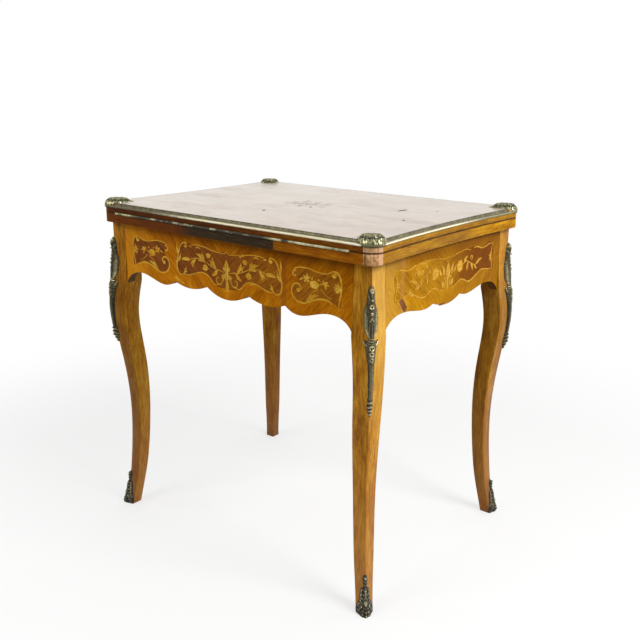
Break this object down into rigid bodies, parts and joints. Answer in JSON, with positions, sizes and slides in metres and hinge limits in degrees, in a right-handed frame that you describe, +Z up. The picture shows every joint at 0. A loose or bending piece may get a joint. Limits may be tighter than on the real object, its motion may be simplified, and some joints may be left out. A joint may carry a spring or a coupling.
{
  "type": "games table",
  "caption": "Square-legged cabriole games table with a swivelling fold-over top, scalloped marquetry aprons, a storage well, and bronze and brass mounts.",
  "frame": {"origin": "on the floor, below the middle of the closed table", "axes": "+X along the long side to the right, +Y from the hinge side to the back, +Z up"},
  "size_m": [0.774, 0.5769, 0.769],
  "materials": {
    "leg_walnut": "shellac polished walnut",
    "apron_veneer": "shellac polished veneer laid on the slant",
    "panel_ground": "polished dark veneer with pale floral inlay",
    "top_veneer": "high gloss varnished veneer",
    "carcass_wood": "bare secondary wood, darkened",
    "gilt_bronze": "cast bronze with dark patina and rubbed highlights",
    "edge_brass": "drawn brass moulding, tarnished in the hollow",
    "hinge_brass": "worn brass",
    "iron": "dull blackened iron",
    "green_baize": "felted wool cloth"
  },
  "bodies": {
    "frame": {"apron_back": "apron_veneer", "apron_front": "apron_veneer", "apron_left": "apron_veneer", "apron_right": "apron_veneer", "corner_blocks": "carcass_wood", "knee_mount_back_left": "gilt_bronze", "knee_mount_back_right": "gilt_bronze", "knee_mount_front_left": "gilt_bronze", "knee_mount_front_right": "gilt_bronze", "leg_back_left": "leg_walnut", "leg_back_right": "leg_walnut", "leg_front_left": "leg_walnut", "leg_front_right": "leg_walnut", "mount_nails": "hinge_brass", "panel_back_centre": "panel_ground", "panel_back_left": "panel_ground", "panel_back_right": "panel_ground", "panel_front_centre": "panel_ground", "panel_front_left": "panel_ground", "panel_front_right": "panel_ground", "panel_left": "panel_ground", "panel_right": "panel_ground", "pivot_rail": "carcass_wood", "sabot_back_left": "gilt_bronze", "sabot_back_right": "gilt_bronze", "sabot_front_left": "gilt_bronze", "sabot_front_right": "gilt_bronze", "well_floor": "carcass_wood", "well_partition": "carcass_wood"},
    "lower_top": {"lower_leaf": "top_veneer", "lower_baize": "green_baize", "hinge_lower_flap": "hinge_brass", "hinge_lower_screws": "iron", "hinge_pin": "hinge_brass", "pivot_disc": "carcass_wood", "pivot_screws": "iron", "pivot_bolt": "iron", "pivot_washer": "iron", "pivot_nut": "iron", "stop_peg": "carcass_wood"},
    "upper_top": {"upper_leaf": "top_veneer", "upper_baize": "green_baize", "hinge_upper_flap": "hinge_brass", "hinge_upper_screws": "iron", "moulding_front": "edge_brass", "moulding_right": "edge_brass", "moulding_back": "edge_brass", "moulding_left": "edge_brass", "corner_cap_front_left": "gilt_bronze", "corner_cap_front_right": "gilt_bronze", "corner_cap_back_left": "gilt_bronze", "corner_cap_back_right": "gilt_bronze"}
  },
  "joints": [
    {"name": "top_swivel", "type": "hinge", "parent": "frame", "child": "lower_top", "pos_m": [-0.1438, -0.1438, 0.7], "axis": [0, 0, 1], "range_deg": [0, 90]},
    {"name": "leaf_fold", "type": "hinge", "parent": "lower_top", "child": "upper_top", "pos_m": [0, -0.2876, 0.738], "axis": [1, 0, 0], "range_deg": [0, 180]}
  ]
}
